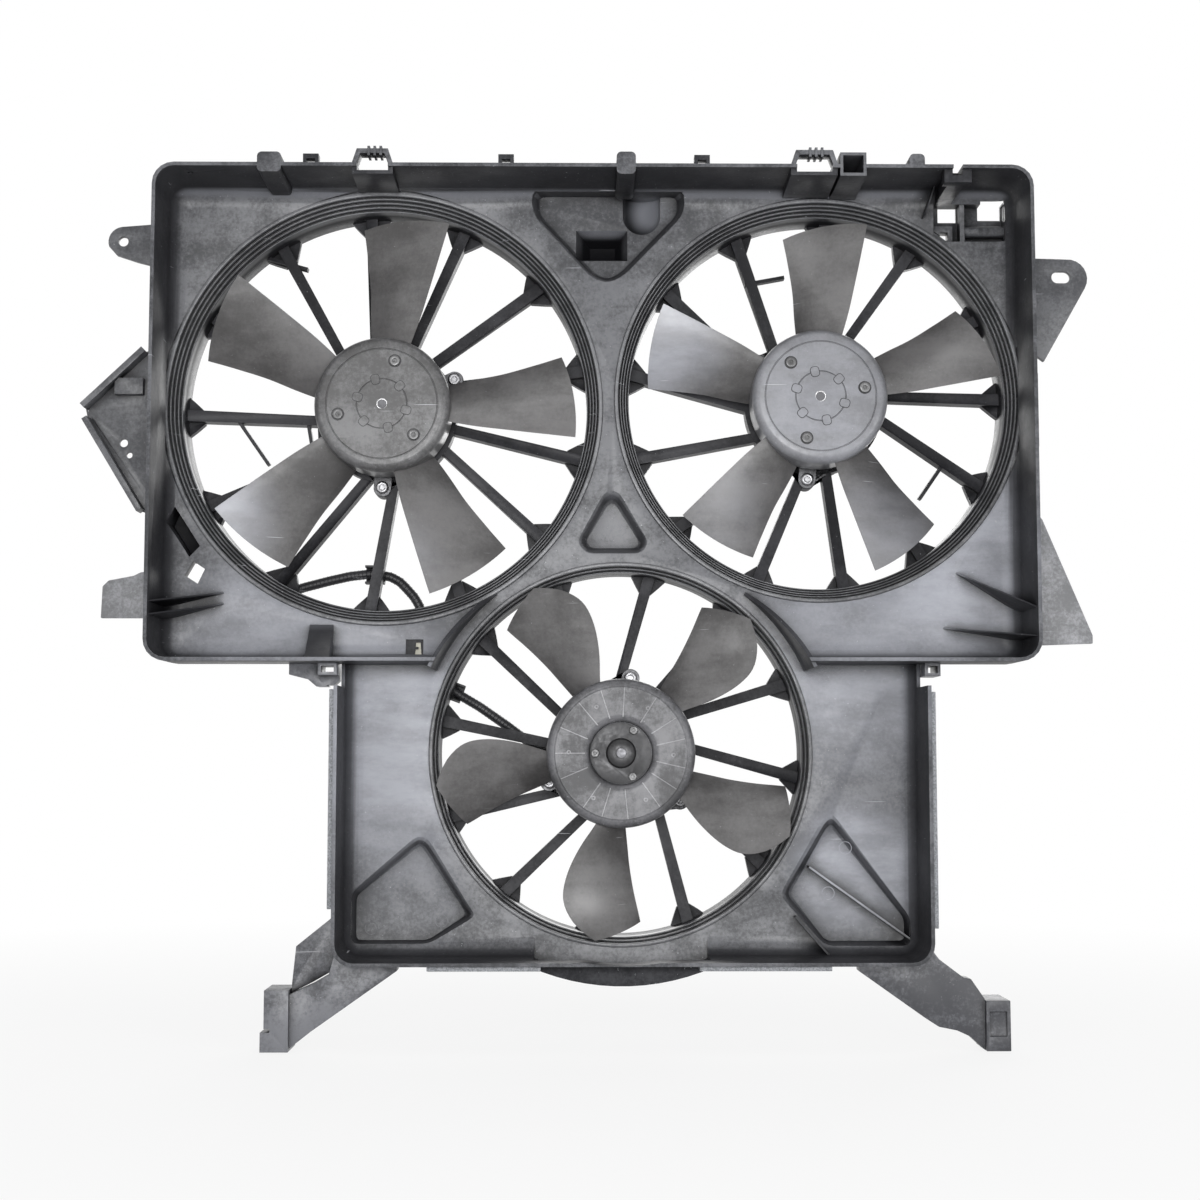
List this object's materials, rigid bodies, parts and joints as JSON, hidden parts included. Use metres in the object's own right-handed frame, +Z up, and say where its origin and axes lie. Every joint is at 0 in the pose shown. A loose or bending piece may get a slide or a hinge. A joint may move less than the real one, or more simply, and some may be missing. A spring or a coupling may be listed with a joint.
{
  "type": "radiator cooling fan",
  "caption": "Plastic two-chamber shroud that fits on a radiator core and carries electric fans in flared barrels with stator spokes.",
  "frame": {"origin": "middle of the upper chamber's top edge, on the rim face that meets the radiator core", "axes": "+X to the right as seen from the core, +Y from the rim towards the motors, +Z up"},
  "size_m": [0.8627, 0.1385, 0.749],
  "materials": {
    "black_plastic": "moulded, slightly dusty",
    "fan_plastic": "moulded, satin",
    "foam": "matt",
    "conduit": "satin",
    "plug_plastic": "smooth",
    "clip_plastic": "smooth",
    "steel": "plain",
    "can_steel": "dark coat",
    "lamination": "stacked sheet",
    "copper": "plain",
    "magnet": "ground",
    "carbon": "pressed"
  },
  "bodies": {
    "shroud": {"shroud": "black_plastic", "top_clips": "black_plastic", "bell_left": "black_plastic", "bell_right": "black_plastic", "bell_lower": "black_plastic", "stator_left": "black_plastic", "stator_right": "black_plastic", "stator_lower": "black_plastic", "ear_left": "black_plastic", "ear_right": "black_plastic", "wing_left": "black_plastic", "wing_right": "black_plastic", "side_bracket": "black_plastic", "foot_left": "black_plastic", "foot_right": "black_plastic", "edge_strips": "foam", "conduit_left": "conduit", "conduit_lower": "conduit", "connector": "plug_plastic", "harness_clips": "clip_plastic", "rim_bosses": "black_plastic", "can_left": "can_steel", "magnets_left": "magnet", "end_cap_left": "black_plastic", "brushes_left": "carbon", "bearings_left": "steel", "motor_screws_left": "steel", "can_right": "can_steel", "magnets_right": "magnet", "end_cap_right": "black_plastic", "brushes_right": "carbon", "bearings_right": "steel", "motor_screws_right": "steel", "can_lower": "can_steel", "magnets_lower": "magnet", "end_cap_lower": "black_plastic", "brushes_lower": "carbon", "bearings_lower": "steel", "motor_screws_lower": "steel"},
    "fan_left": {"impeller_left": "fan_plastic", "drive_left": "steel", "hub_screws_left": "steel", "shaft_left": "steel", "armature_left": "lamination", "commutator_left": "copper"},
    "fan_right": {"impeller_right": "fan_plastic", "drive_right": "steel", "hub_screws_right": "steel", "shaft_right": "steel", "armature_right": "lamination", "commutator_right": "copper"},
    "fan_lower": {"impeller_lower": "fan_plastic", "drive_lower": "steel", "hub_rivets_lower": "steel", "shaft_lower": "steel", "armature_lower": "lamination", "commutator_lower": "copper"}
  },
  "joints": [
    {"name": "fan_left_spin", "type": "hinge", "parent": "shroud", "child": "fan_left", "pos_m": [-0.181, 0.09, -0.193], "axis": [0, 1, 0], "continuous": true},
    {"name": "fan_right_spin", "type": "hinge", "parent": "shroud", "child": "fan_right", "pos_m": [0.195, 0.09, -0.1855], "axis": [0, 1, 0], "continuous": true},
    {"name": "fan_lower_spin", "type": "hinge", "parent": "shroud", "child": "fan_lower", "pos_m": [0.0235, 0.09, -0.491], "axis": [0, 1, 0], "continuous": true}
  ]
}
